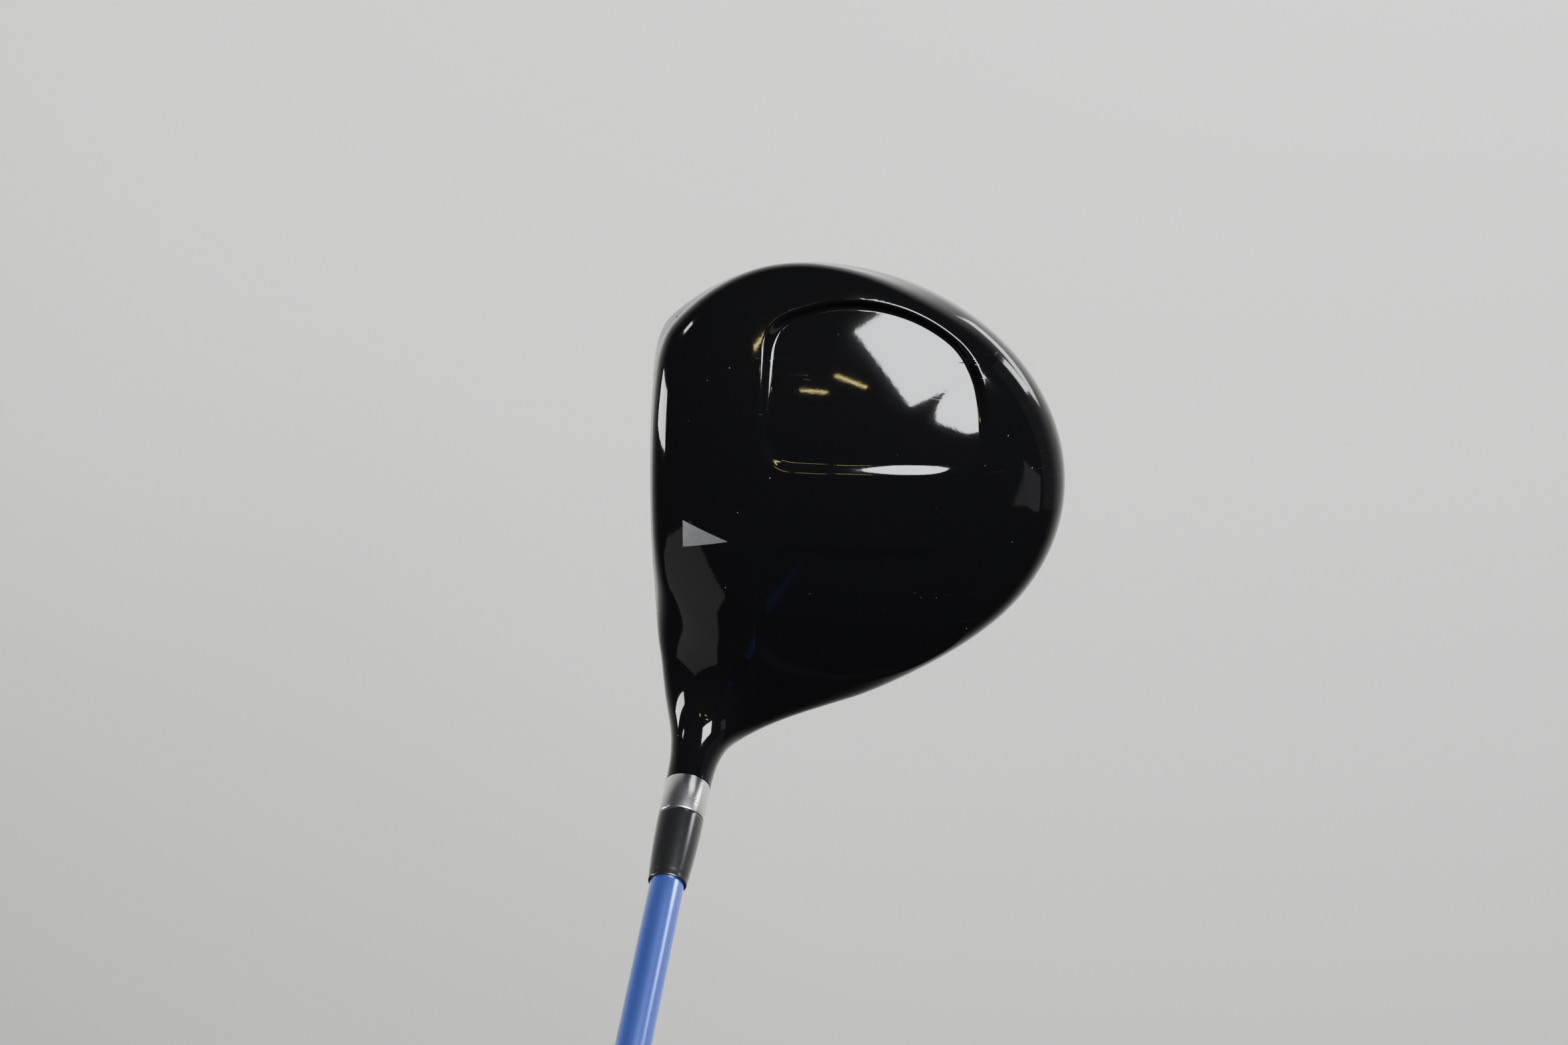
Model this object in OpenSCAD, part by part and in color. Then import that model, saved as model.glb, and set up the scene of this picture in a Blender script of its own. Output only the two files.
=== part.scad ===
// Golf driver, right-handed, soled at address.
// Millimetres. +Z up from the ground, the face looks towards -Y, the toe is -X, the heel +X.
// The origin is the point where the sole rests on the ground.

/* [Club] */
// Angle between the shaft and the ground, degrees
lie = 59; // [55:0.5:64]
// Loft of the face, degrees
loft = 10.5; // [8:0.5:14]
// Playing length, ground to cap along the shaft
club_len = 1156; // [1090:1:1219]
// Centre of the hosel's top edge, towards the heel
hosel_x = 86; // [80:0.5:92]
// Centre of the hosel's top edge, towards the face
hosel_y = -28; // [-34:0.5:-20]
// Centre of the hosel's top edge, height
hosel_z = 70; // [62:0.5:78]

/* [Head outline] */
// Plan centre of the head, heel to toe
head_x = -0.6; // [-4:0.1:4]
// Plan centre of the head, face to back
head_y = -0.65; // [-4:0.05:4]
// Plan half-length on the toe side
toe_len = 57.4; // [50:0.1:64]
// Plan half-length on the heel side
heel_len = 56.1; // [50:0.1:64]
// Plan half-width towards the back
back_len = 67.5; // [55:0.1:72]
// Plan half-width towards the face, before the face cuts it
front_len = 50.7; // [48:0.1:62]
// Height of the widest line above the ground
rim_z = 37; // [30:0.5:40]
// Height of the flanks' arch above the widest line, most of it cut away by the crown
flank_h = 70; // [40:1:100]
// Sole depth below the widest line
sole_h = 36.2; // [26:0.1:40]
// Fullness of the sole's arch
sole_n = 2.4; // [1.8:0.05:3.5]
// Extra fullness of the lower front
chin = 12; // [0:0.5:16]

/* [Crown] */
// Highest point of the crown, heel to toe
top_x = 2; // [-10:0.5:14]
// Highest point of the crown, face to back
top_y = -8; // [-20:0.5:6]
// Height of the crown above the ground
top_z = 61; // [54:0.5:66]
// Arch radius from heel to toe
arch_x = 114; // [80:1:200]
// Arch radius towards the back
arch_back = 139; // [80:1:240]
// Arch radius towards the face
arch_front = 56; // [35:1:140]
// Roundness of the edge between the crown and the flanks
roll_k = 9; // [3:0.5:16]

/* [Face] */
// Face position at mid height
face_y = -45.3; // [-52:0.1:-40]
// Mid height of the face
face_z = 29; // [24:0.5:34]
// Bulge radius, heel to toe
bulge_r = 380; // [200:1:500]
// Roll radius, sole to crown
roll_r = 300; // [200:1:500]
// Half-length of the face plate
plate_a = 42; // [34:0.5:48]
// Half-height of the face plate
plate_h = 19.5; // [14:0.5:24]
// Thickness of the face plate
plate_t = 3; // [2.4:0.1:4]
// Pitch of the score lines
score_pitch = 4; // [3:0.5:6]
// Width of a score line
score_w = 0.8; // [0.5:0.1:1.2]

/* [Shell] */
// Wall of the crown and sole, measured towards the middle of the head
wall = 1.5; // [1:0.1:2.5]
// Wall of the neck
neck_wall = 0.9; // [0.7:0.05:1.2]

/* [Crown scoops] */
// Depth of the two scoops at the middle of the head
scoop_d = 1; // [0:0.1:3]
// Extra depth of the scoops near the rim
scoop_rim_d = 2.6; // [0:0.1:4]
// Share of that depth in the heel-side scoop
scoop_heel = 0.45; // [0:0.05:1]
// Half-width of the ridge between the scoops
ridge_w = 9.2; // [6:0.1:16]
// Front edge of the scoops
scoop_y = -11.4; // [-18:0.1:-6]
// Rear edge of the scoops
scoop_back = 48; // [38:0.5:54]
// Half-length of the scoops' outline, heel to toe
scoop_a = 52.6; // [40:0.1:56]
// Half-length of the scoops' outline, face to back
scoop_b = 46; // [36:0.5:56]
// Width of the step around a scoop
scoop_w = 3.4; // [1.5:0.1:6]

/* [Hosel] */
// Outer radius of the exposed collar
collar_r = 6.1; // [5.8:0.05:6.6]
// Length of the exposed collar
collar_len = 10.6; // [6:0.1:16]
// Outer radius of the tube inside the neck
tube_r = 5.1; // [5:0.05:5.3]
// Radius of the shaft socket
socket_r = 4.6; // [4.5:0.01:4.7]
// Depth of the shaft socket
socket_len = 40; // [30:1:46]

/* [Shaft and grip] */
// Shaft radius at the tip
tip_r = 4.5; // [4.2:0.01:4.6]
// Shaft radius at the butt
butt_r = 7.6; // [7.2:0.05:7.9]
// Length of the parallel part above the hosel
tip_len = 60; // [40:1:120]
// Ferrule length
ferrule_len = 20; // [12:0.5:26]
// Ferrule radius at its upper end
ferrule_r = 5.15; // [4.8:0.05:5.6]
// Grip length without its cap
grip_len = 268; // [250:1:285]
// Grip radius at its mouth
mouth_r = 9.8; // [9:0.1:11]
// Grip radius at its cap
cap_r = 13.2; // [12:0.1:15]
// Vent hole radius in the cap
vent_r = 1.25; // [1:0.05:2]

/* [Sole weight] */
// Tilt of the weight's axis towards the back, degrees
port_tilt = 24; // [10:1:35]
// Position of the weight behind the origin
port_y = 36; // [28:0.5:42]
// Radius of the weight
weight_r = 7; // [5:0.1:9]
// Screw radius
screw_r = 2; // [1.5:0.1:3]

/* [Hidden] */
$fn = 72;

gap = 0.05;
hosel = [hosel_x, hosel_y, hosel_z];
shaft_dir = [cos(lie), 0, sin(lie)];
cap_t = club_len - hosel_z / sin(lie);
grip_t1 = cap_t - 4;
grip_t0 = grip_t1 - grip_len;

// Rings: planes across the head from the toe, a fan of planes round the heel, then the neck
n_toe = 34;
n_fan = 20;
n_neck = 3;
n_rings = n_toe + n_fan + n_neck;
i_neck = n_toe + 14;
fan_x = 20;
fan_r = 65;
fan_base = hosel - 20 * shaft_dir;
fan_pivot = fan_base + fan_r * [-sin(lie), 0, cos(lie)];

// Heel lobe that carries the head into the neck
lobe_c = [3.3, -3.5, 42.4];
lobe_s = [61.4, 38.5, 11.5];
lobe_yaw = -5.5;
lobe_pitch = -3.1;
lobe_k = 21.9;
neck_k = 32.7;
neck_end = -44;
face_k = 4;

// Tip of the toe, where the rings start
tip_y = -1.5;
tip_z = rim_z + 3.5;
toe_x = touch([head_x - 20, tip_y, tip_z], [-1, 0, 0])[0];

port_dir = [0, sin(port_tilt), -cos(port_tilt)];

function sstep(t) = let(u = min(max(t, 0), 1)) u * u * (3 - 2 * u);
function smin(a, b, k) = let(h = min(max(0.5 + 0.5 * (b - a) / k, 0), 1))
    b * (1 - h) + a * h - k * h * (1 - h);
function smax(a, b, k) = -smin(-a, -b, k);
function sum3(a, b) = a[0] * b[0] + a[1] * b[1] + a[2] * b[2];

// Depth of the crown scoops over the plan
function scoop(x, y) = let(
    inner = smax(ridge_w - abs(x), scoop_y - y, 9),
    outer = smax((norm([x / scoop_a, (y - 11.4) / scoop_b]) - 1) * scoop_a, y - scoop_back, 10),
    edge = smax(inner, outer, 5),
    fade = sstep((norm([x, y - 62]) - 20) / 20),
    q = min(max((norm([x / toe_len, y / back_len]) - 0.3) / 0.63, 0), 1.3))
    (x > 0 ? scoop_heel : 1) * (scoop_d + scoop_rim_d * q * q) * sstep(-edge / scoop_w) * fade;

// Distance-like function of the head: below zero is inside
function body_d(p) = let(
    x = p[0] - head_x,
    y = p[1] - head_y,
    z = p[2] - rim_z,
    ex = x < 0 ? toe_len : heel_len,
    ey = y > 0 ? back_len : front_len + chin * sstep(-z / 22),
    ez = z > 0 ? flank_h : sole_h,
    n = z > 0 ? 2.2 : sole_n,
    g = pow(pow(norm([x / ex, y / ey]), n) + pow(abs(z / ez), n), 1 / n))
    norm([x, y, z]) * (1 - 1 / max(g, 0.000001));
function lobe_d(p) = let(
    q = p - lobe_c,
    u1 = cos(lobe_yaw) * q[0] + sin(lobe_yaw) * q[1],
    v = -sin(lobe_yaw) * q[0] + cos(lobe_yaw) * q[1],
    u = cos(lobe_pitch) * u1 + sin(lobe_pitch) * q[2],
    w = -sin(lobe_pitch) * u1 + cos(lobe_pitch) * q[2],
    g = norm([u / lobe_s[0], v / lobe_s[1], w / lobe_s[2]]))
    norm(q) * (1 - 1 / max(g, 0.000001));
function face_at(x, z) = face_y + (z - face_z) * tan(loft) + x * x / (2 * bulge_r)
    + (z - face_z) * (z - face_z) / (2 * roll_r);
function face_d(p) = (face_at(p[0], p[2]) - p[1]) * cos(loft);
function neck_d(p) = let(
    q = p - hosel,
    t = sum3(q, shaft_dir),
    r = norm(q - t * shaft_dir))
    norm([r, max(neck_end - t, 0)]) - collar_r - 0.02 * max(-18 - t, 0);
function crown_d(p) = let(
    dx = p[0] - top_x,
    dy = p[1] - top_y,
    r = dy > 0 ? arch_back : arch_front)
    (p[2] - top_z + dx * dx / (2 * arch_x) + dy * dy / (2 * r) + scoop(p[0], p[1])) / norm([1, dx / arch_x, dy / r]);
function head_d(p) = let(
    b = smax(smin(body_d(p), lobe_d(p), lobe_k), crown_d(p), roll_k))
    smin(smax(b, face_d(p), face_k), neck_d(p), neck_k);

// Distance from s along the unit vector d to the surface
function reach(s, d, r, n) = n == 0 ? r : reach(s, d, r - 0.85 * head_d(s + r * d), n - 1);
function touch(s, d) = s + reach(s, d, 2, 30) * d;
function sole_at(x, y) = touch([x, y, 25], [0, 0, -1])[2];
function crown_at(x, y) = touch([x, y, 25], [0, 0, 1])[2];
function front_at(x, z) = touch([x, -15, z], [0, -1, 0])[1];

// Ring i as [middle, direction up within the ring's plane, tangent of its lean]
function toe_ring(i) = let(
    x = toe_x + (fan_x - toe_x) * (1 - cos(90 * i / n_toe)),
    w = (x - toe_x) / (fan_x - toe_x))
    [[x, tip_y * (1 - w) - 16 * w, tip_z * (1 - w) + (rim_z + 3) * w], [0, 0, 1], 0];
function fan_ring(i) = let(
    f = i / n_fan,
    up = [-sin(lie * f), 0, cos(lie * f)],
    m = fan_pivot - up * ((fan_pivot[2] - rim_z - 3) * (1 - f) + fan_r * f))
    [[m[0], hosel_y * f - 16 * (1 - f), m[2]], up, tan(lie * f)];
function neck_ring(i) = [fan_base + shaft_dir * (20 - collar_len) * i / n_neck, [-sin(lie), 0, cos(lie)], tan(lie)];
function ring(i) = i <= n_toe ? toe_ring(i) : i <= n_toe + n_fan ? fan_ring(i - n_toe) : neck_ring(i - n_toe - n_fan);

// Angle in ring i of the face plate's edge: side 1 is the upper edge, -1 the lower
function plate_angle(i, side) = let(
    g = ring(i),
    a = g[0][0] + g[0][2] * g[2],
    qa = pow(g[2] / plate_a, 2) + pow(1 / plate_h, 2),
    qb = (a - 1) * g[2] / pow(plate_a, 2) + (face_z + 1) / pow(plate_h, 2),
    qc = pow((a - 1) / plate_a, 2) + pow((face_z + 1) / plate_h, 2) - 1,
    z = (qb + side * sqrt(max(qb * qb - qa * qc, 0))) / qa,
    p = [a - g[2] * z, face_at(a - g[2] * z, z), z] - g[0])
    let(e = atan2(sum3(p, g[1]), p[1])) e < 0 ? e + 360 : e;
function plate_open(i) = plate_angle(i, -1) - plate_angle(i, 1) > 0.01;

// Point of the outer surface in ring i at angle e, moved inwards by d
function skin(i, e, d) = let(
    g = ring(i),
    p = i == 0 ? g[0] : touch(g[0], [0, cos(e), 0] + sin(e) * g[1]),
    m = [max(g[0][0], toe_x + 22), g[0][1], g[0][2]])
    p + d * (m - p) / norm(m - p);

function crown_angles(i, n) = [for (j = [0:n]) plate_angle(i, 1) * (0.5 * j / n + 0.5 * pow(j / n, 2))];
function sole_angles(i, n) = [for (j = [n:-1:0]) 360 - (360 - plate_angle(i, -1)) * (0.5 * j / n + 0.5 * pow(j / n, 2))];
function plate_angles(i, n) = [for (j = [0:n]) plate_angle(i, 1) + (plate_angle(i, -1) - plate_angle(i, 1)) * j / n];

// Closed solid between two grids of points; rows that shrink to a point are joined there
module shell(outer, inner, loop = false) {
    rows = len(outer);
    cols = len(outer[0]);
    half = rows * cols;
    point = [for (r = outer) norm(r[0] - r[cols - 1]) < 0.001 && norm(r[0] - r[1]) < 0.001];
    last = loop ? cols - 1 : cols - 2;
    at = [for (s = [0, 1]) [for (i = [0:rows - 1]) [for (j = [0:cols]) s * half + i * cols + (point[i] ? 0 : j % cols)]]];
    sides = loop ? [] : [0, cols - 1];
    quads = concat(
        [for (i = [0:rows - 2], j = [0:last]) [at[0][i][j], at[0][i + 1][j], at[0][i + 1][j + 1], at[0][i][j + 1]]],
        [for (i = [0:rows - 2], j = [0:last]) [at[1][i][j], at[1][i][j + 1], at[1][i + 1][j + 1], at[1][i + 1][j]]],
        [for (j = sides, i = [0:rows - 2]) j == 0
            ? [at[0][i][j], at[1][i][j], at[1][i + 1][j], at[0][i + 1][j]]
            : [at[0][i][j], at[0][i + 1][j], at[1][i + 1][j], at[1][i][j]]],
        [for (i = [0, rows - 1], j = [0:last]) i == 0
            ? [at[0][i][j], at[0][i][j + 1], at[1][i][j + 1], at[1][i][j]]
            : [at[0][i][j], at[1][i][j], at[1][i][j + 1], at[0][i][j + 1]]]);
    tris = [for (q = quads, t = [[q[0], q[1], q[2]], [q[0], q[2], q[3]]])
        if (t[0] != t[1] && t[1] != t[2] && t[0] != t[2]) t];
    polyhedron(points = [for (g = [outer, inner], r = g) each r], faces = tris, convexity = 6);
}

// Frames of the turned pieces
module on_shaft() {
    translate(hosel)
        rotate([0, 90 - lie, 0])
            children();
}
module on_port() {
    translate(touch([0, port_y, 24], port_dir))
        rotate([180 + port_tilt, 0, 0])
            children();
}
module turned(profile) {
    rotate_extrude()
        polygon(profile);
}

function shaft_r(t) = tip_r + (butt_r - tip_r) * max(t - tip_len, 0) / (grip_t1 - tip_len);

module crown_shell() {
    n = 36;
    color([0.03, 0.03, 0.035])
        shell([for (i = [0:i_neck]) [for (e = crown_angles(i, n)) skin(i, e, 0)]],
            [for (i = [0:i_neck]) [for (e = crown_angles(i, n)) skin(i, e, wall)]]);
}

module sole_shell() {
    n = 22;
    color([0.05, 0.05, 0.055])
        difference() {
            shell([for (i = [0:i_neck]) [for (e = sole_angles(i, n)) skin(i, e, 0)]],
                [for (i = [0:i_neck]) [for (e = sole_angles(i, n)) skin(i, e, wall)]]);
            on_port()
                translate([0, 0, -16])
                    cylinder(r = weight_r + 2 + gap, h = 24);
        }
}

module face_plate() {
    n = 8;
    rows = [for (i = [1:i_neck]) if (plate_open(i) || plate_open(i - 1) || plate_open(i + 1)) i];
    color([0.55, 0.56, 0.58])
        shell([for (i = rows) [for (e = plate_angles(i, n)) skin(i, e, 0)]],
            [for (i = rows) [for (e = plate_angles(i, n)) skin(i, e, plate_t)]]);
}

module score_lines() {
    n = 6;
    color([0.9, 0.9, 0.9])
        for (k = [-3:3], side = [-1, 1]) {
            z = face_z + 1 + k * score_pitch;
            x0 = side * 12 + 1;
            x1 = side * (34 - abs(k) * 2) + 1;
            rows = [for (j = [0:n]) min(x0, x1) + (max(x0, x1) - min(x0, x1)) * j / n];
            shell([for (x = rows) [for (s = [0.5, -0.5]) [x, front_at(x, z) - 0.35, z + s * score_w]]],
                [for (x = rows) [for (s = [0.5, -0.5]) [x, front_at(x, z) - 0.15, z + s * score_w]]]);
        }
}

module neck_cone() {
    n = 40;
    color([0.03, 0.03, 0.035])
        shell([for (i = [i_neck:n_rings]) [for (j = [0:n - 1]) skin(i, 360 * j / n, 0)]],
            [for (i = [i_neck:n_rings]) [for (j = [0:n - 1]) skin(i, 360 * j / n, neck_wall)]], true);
}

module hosel_tube() {
    color([0.8, 0.8, 0.82])
        on_shaft()
            turned([[socket_r, -socket_len - 4], [tube_r, -socket_len - 4], [tube_r, -collar_len + gap],
                [collar_r, -collar_len + gap], [collar_r, -0.3], [collar_r - 0.3, 0], [socket_r, 0]]);
}

module hosel_stop() {
    color([0.3, 0.3, 0.32])
        on_shaft()
            translate([0, 0, -socket_len - 4])
                cylinder(r = socket_r - 0.01, h = 4 - gap);
}

module sole_badge() {
    n = 5;
    m = 40;
    c = [4, -1];
    function at(k, j) = c + (0.001 + k / n) * [22 * cos(360 * j / m), 16 * sin(360 * j / m)];
    top = [for (k = [0:n]) [for (j = [0:m - 1]) [at(k, j)[0], at(k, j)[1], sole_at(at(k, j)[0], at(k, j)[1]) - 0.08]]];
    color([0.7, 0.71, 0.73])
        polyhedron(
            points = concat([for (k = [1:n]) each top[k]], [[c[0], c[1], sole_at(c[0], c[1]) - 0.08]],
                [for (j = [0:m - 1]) [at(n, j)[0], at(n, j)[1], top[n][j][2] - 0.6]],
                [for (j = [0:m - 1]) [c[0] + 20 * cos(360 * j / m), c[1] + 14 * sin(360 * j / m), 0]]),
            faces = concat(
                [for (j = [0:m - 1]) [n * m, (j + 1) % m, j]],
                [for (k = [0:n - 2], j = [0:m - 1], t = [0, 1]) t == 0
                    ? [k * m + j, k * m + (j + 1) % m, (k + 1) * m + (j + 1) % m]
                    : [k * m + j, (k + 1) * m + (j + 1) % m, (k + 1) * m + j]],
                [for (k = [n - 1, n + 0], j = [0:m - 1], t = [0, 1]) let(a = k == n - 1 ? (n - 1) * m : n * m + 1,
                    b = a == (n - 1) * m ? n * m + 1 : n * m + 1 + m) t == 0
                    ? [a + j, a + (j + 1) % m, b + (j + 1) % m]
                    : [a + j, b + (j + 1) % m, b + j]],
                [[for (j = [0:m - 1]) n * m + 1 + m + j]]),
            convexity = 4);
}

module alignment_mark() {
    n = 6;
    rows = [for (k = [0:n]) let(y = -18 - 13 * k / n, w = 4 * k / n)
        [for (j = [0:n]) [10.4 + w - 2 * w * j / n, y]]];
    color([0.75, 0.76, 0.78])
        shell([for (r = rows) [for (p = r) [p[0], p[1], crown_at(p[0], p[1]) + 0.25]]],
            [for (r = rows) [for (p = r) [p[0], p[1], crown_at(p[0], p[1]) + gap]]]);
}

module weight_port() {
    r = weight_r;
    color([0.35, 0.35, 0.37])
        on_port()
            turned([[0, -16.5], [5.5, -16.5], [5.5, -13], [r + 2, -13], [r + 2, 0.3], [r + 1.7, 0.6],
                [r + gap, 0.6], [r + gap, -9.5], [screw_r + gap, -9.5], [screw_r + gap, -15.5], [0, -15.5]]);
}

module weight_cartridge() {
    r = weight_r;
    color([0.6, 0.6, 0.62])
        on_port()
            turned([[screw_r + 0.08, -8.6], [screw_r + 1.35, -8.6], [screw_r + 1.35, -9.3], [r - 0.4, -9.3],
                [r, -8.9], [r, -0.5], [r - 0.4, -0.1], [4.3, -0.1], [4.1, -0.3], [4.1, -5.5],
                [screw_r + 0.08, -5.5]]);
}

module weight_screw() {
    color([0.5, 0.5, 0.52])
        on_port()
            difference() {
                turned([[0, -14.5], [screw_r - 0.4, -14.5], [screw_r, -14.1], [screw_r, -5.45], [4, -5.45],
                    [4, -1.7], [3.7, -1.4], [0, -1.4]]);
                translate([0, 0, -3.9])
                    cylinder(r = 1.75, h = 4);
                for (k = [0:5])
                    rotate([0, 0, 60 * k])
                        translate([1.75, 0, -3.9])
                            cylinder(r = 0.5, h = 4, $fn = 24);
            }
}

module screw_retainer() {
    color([0.2, 0.2, 0.2])
        on_port()
            turned([[screw_r, -9.2], [screw_r + 1.2, -9.2], [screw_r + 1.2, -8.7], [screw_r, -8.7]]);
}

module hot_melt_pad() {
    n = 8;
    rows = [n_toe + 1:1:n_toe + 7];
    color([0.75, 0.7, 0.55])
        shell([for (i = rows) [for (j = [0:n]) skin(i, 232 + 5 * j, wall + 0.3)]],
            [for (i = rows) [for (j = [0:n]) skin(i, 232 + 5 * j, wall + 3.2)]]);
}

module shaft() {
    t1 = grip_t1 - 0.1;
    color([0.2, 0.35, 0.65])
        on_shaft()
            turned([[tip_r - 1.3, -socket_len + gap], [tip_r - 0.05, -socket_len + gap], [tip_r - 0.05, 0],
                [tip_r, 0.05], [tip_r, tip_len], [shaft_r(t1), t1], [shaft_r(t1) - 1.2, t1],
                [tip_r - 1.3, tip_len]]);
}

module tip_plug() {
    color([0.7, 0.6, 0.3])
        on_shaft()
            translate([0, 0, -socket_len + 2])
                cylinder(r = tip_r - 1.32, h = 18);
}

module epoxy_sleeve() {
    color([0.8, 0.7, 0.4])
        on_shaft()
            turned([[tip_r - 0.04, -socket_len + 1], [socket_r - 0.01, -socket_len + 1], [socket_r - 0.01, -gap],
                [tip_r - 0.04, -gap]]);
}

module ferrule() {
    color([0.03, 0.03, 0.03])
        on_shaft()
            turned([[tip_r + 0.02, gap], [collar_r - 0.25, gap], [collar_r, 0.3], [collar_r - 0.12, ferrule_len * 0.35],
                [collar_r - 0.5, ferrule_len * 0.75], [ferrule_r, ferrule_len - 0.2], [ferrule_r - 0.2, ferrule_len],
                [tip_r + 0.02, ferrule_len]]);
}

module grip_tape() {
    t0 = grip_t0 + 3;
    t1 = grip_t1 - 0.2;
    color([0.85, 0.82, 0.7])
        on_shaft()
            turned([[shaft_r(t0) + 0.02, t0], [shaft_r(t0) + 0.3, t0], [shaft_r(t1) + 0.3, t1], [shaft_r(t1) + 0.02, t1]]);
}

module grip_sleeve() {
    t0 = grip_t0;
    t1 = grip_t1;
    rings = 7;
    color([0.04, 0.04, 0.04])
        on_shaft()
            turned(concat([[shaft_r(t0) + 0.32, t0], [mouth_r - 0.6, t0], [mouth_r, t0 + 0.8]],
                [for (k = [0:rings - 1], c = [[0, 0], [0.5, -0.5], [2, -0.5], [2.5, 0]])
                    [mouth_r + (k * 5 + 10 + c[0]) * 0.0127 + c[1], t0 + k * 5 + 10 + c[0]]],
                [[cap_r, t1 - 0.6], [cap_r - 0.5, t1], [shaft_r(t1) + 0.32, t1]]));
}

module grip_cap() {
    color([0.04, 0.04, 0.04])
        on_shaft()
            turned([[vent_r, grip_t1 + gap], [cap_r - 0.3, grip_t1 + gap], [cap_r, grip_t1 + 0.4], [cap_r, grip_t1 + 2.6],
                [cap_r - 1.4, cap_t], [vent_r, cap_t]]);
}

crown_shell();
sole_shell();
face_plate();
score_lines();
neck_cone();
hosel_tube();
hosel_stop();
sole_badge();
alignment_mark();
weight_port();
weight_cartridge();
weight_screw();
screw_retainer();
hot_melt_pad();
shaft();
tip_plug();
epoxy_sleeve();
ferrule();
grip_tape();
grip_sleeve();
grip_cap();
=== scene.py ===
import math
import bmesh
import bpy
import numpy as np
from mathutils import Matrix, Quaternion, Vector


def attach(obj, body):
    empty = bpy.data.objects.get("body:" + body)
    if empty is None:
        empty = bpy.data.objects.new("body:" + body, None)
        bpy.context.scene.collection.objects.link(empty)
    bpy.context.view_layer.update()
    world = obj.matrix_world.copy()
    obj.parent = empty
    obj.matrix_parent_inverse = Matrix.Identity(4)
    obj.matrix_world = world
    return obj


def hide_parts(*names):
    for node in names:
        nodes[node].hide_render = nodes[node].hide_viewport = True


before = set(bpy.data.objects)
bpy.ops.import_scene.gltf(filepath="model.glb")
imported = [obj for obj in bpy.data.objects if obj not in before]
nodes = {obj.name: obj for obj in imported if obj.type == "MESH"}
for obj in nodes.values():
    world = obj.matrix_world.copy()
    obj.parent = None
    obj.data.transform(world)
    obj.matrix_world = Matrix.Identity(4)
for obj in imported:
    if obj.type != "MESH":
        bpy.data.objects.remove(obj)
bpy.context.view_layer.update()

MM = 0.001

# ---------------------------------------------------------------- the head's surface, as in part.scad (mm)
LIE, LOFT = 59.0, 10.5
HOSEL = np.array([86.0, -28.0, 70.0])
HEAD_X, HEAD_Y = -0.6, -0.65
TOE, HEEL, BACK, FRONT, CHIN = 57.4, 56.1, 67.5, 50.7, 12.0
RIM_Z, FLANK_H, SOLE_H, SOLE_N = 37.0, 70.0, 36.2, 2.4
TOP, ARCH_X, ARCH_BACK, ARCH_FRONT, ROLL_K = (2.0, -8.0, 61.0), 114.0, 139.0, 56.0, 9.0
FACE_Y, FACE_Z, BULGE, ROLL, FACE_K = -45.3, 29.0, 380.0, 300.0, 4.0
PLATE_A, PLATE_H = 42.0, 19.5
SCOOP_D, SCOOP_RIM_D, RIDGE_W, SCOOP_Y, SCOOP_BACK = 1.0, 2.6, 9.2, -11.4, 48.0
SCOOP_A, SCOOP_B, SCOOP_W, SCOOP_HEEL = 52.6, 46.0, 3.4, 0.45
COLLAR_R, COLLAR_LEN, NECK_K, NECK_END = 6.1, 10.6, 32.7, -44.0
LOBE_C, LOBE_S = np.array([3.3, -3.5, 42.4]), np.array([61.4, 38.5, 11.5])
LOBE_YAW, LOBE_PITCH, LOBE_K = -5.5, -3.1, 21.9
lie = math.radians(LIE)
AXIS = np.array([math.cos(lie), 0.0, math.sin(lie)])
N_TOE, N_FAN, N_NECK = 210, 90, 16
FAN_R = 65.0
FAN_BASE = HOSEL - 20 * AXIS
FAN_PIVOT = FAN_BASE + FAN_R * np.array([-math.sin(lie), 0.0, math.cos(lie)])
FAN_X = 20.0
I_NECK = N_TOE + int(N_FAN * 0.7)
N_RINGS = N_TOE + N_FAN + N_NECK


def sstep(t):
    u = np.clip(t, 0, 1)
    return u * u * (3 - 2 * u)


def smin(a, b, k):
    h = np.clip(0.5 + 0.5 * (b - a) / k, 0, 1)
    return b * (1 - h) + a * h - k * h * (1 - h)


def smax(a, b, k):
    return -smin(-a, -b, k)


def length(*c):
    return np.sqrt(sum(v * v for v in c))


def scoop(x, y):
    inner = smax(RIDGE_W - np.abs(x), SCOOP_Y - y, 9)
    outer = smax((length(x / SCOOP_A, (y - 11.4) / SCOOP_B) - 1) * SCOOP_A, y - SCOOP_BACK, 10)
    edge = smax(inner, outer, 5)
    fade = sstep((length(x, y - 62) - 20) / 20)
    q = np.clip((length(x / TOE, y / BACK) - 0.3) / 0.63, 0, 1.3)
    return np.where(x > 0, SCOOP_HEEL, 1) * (SCOOP_D + SCOOP_RIM_D * q * q) * sstep(-edge / SCOOP_W) * fade


def face_at(x, z):
    rise = z - FACE_Z
    return FACE_Y + rise * math.tan(math.radians(LOFT)) + x * x / (2 * BULGE) + rise ** 2 / (2 * ROLL)


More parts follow.
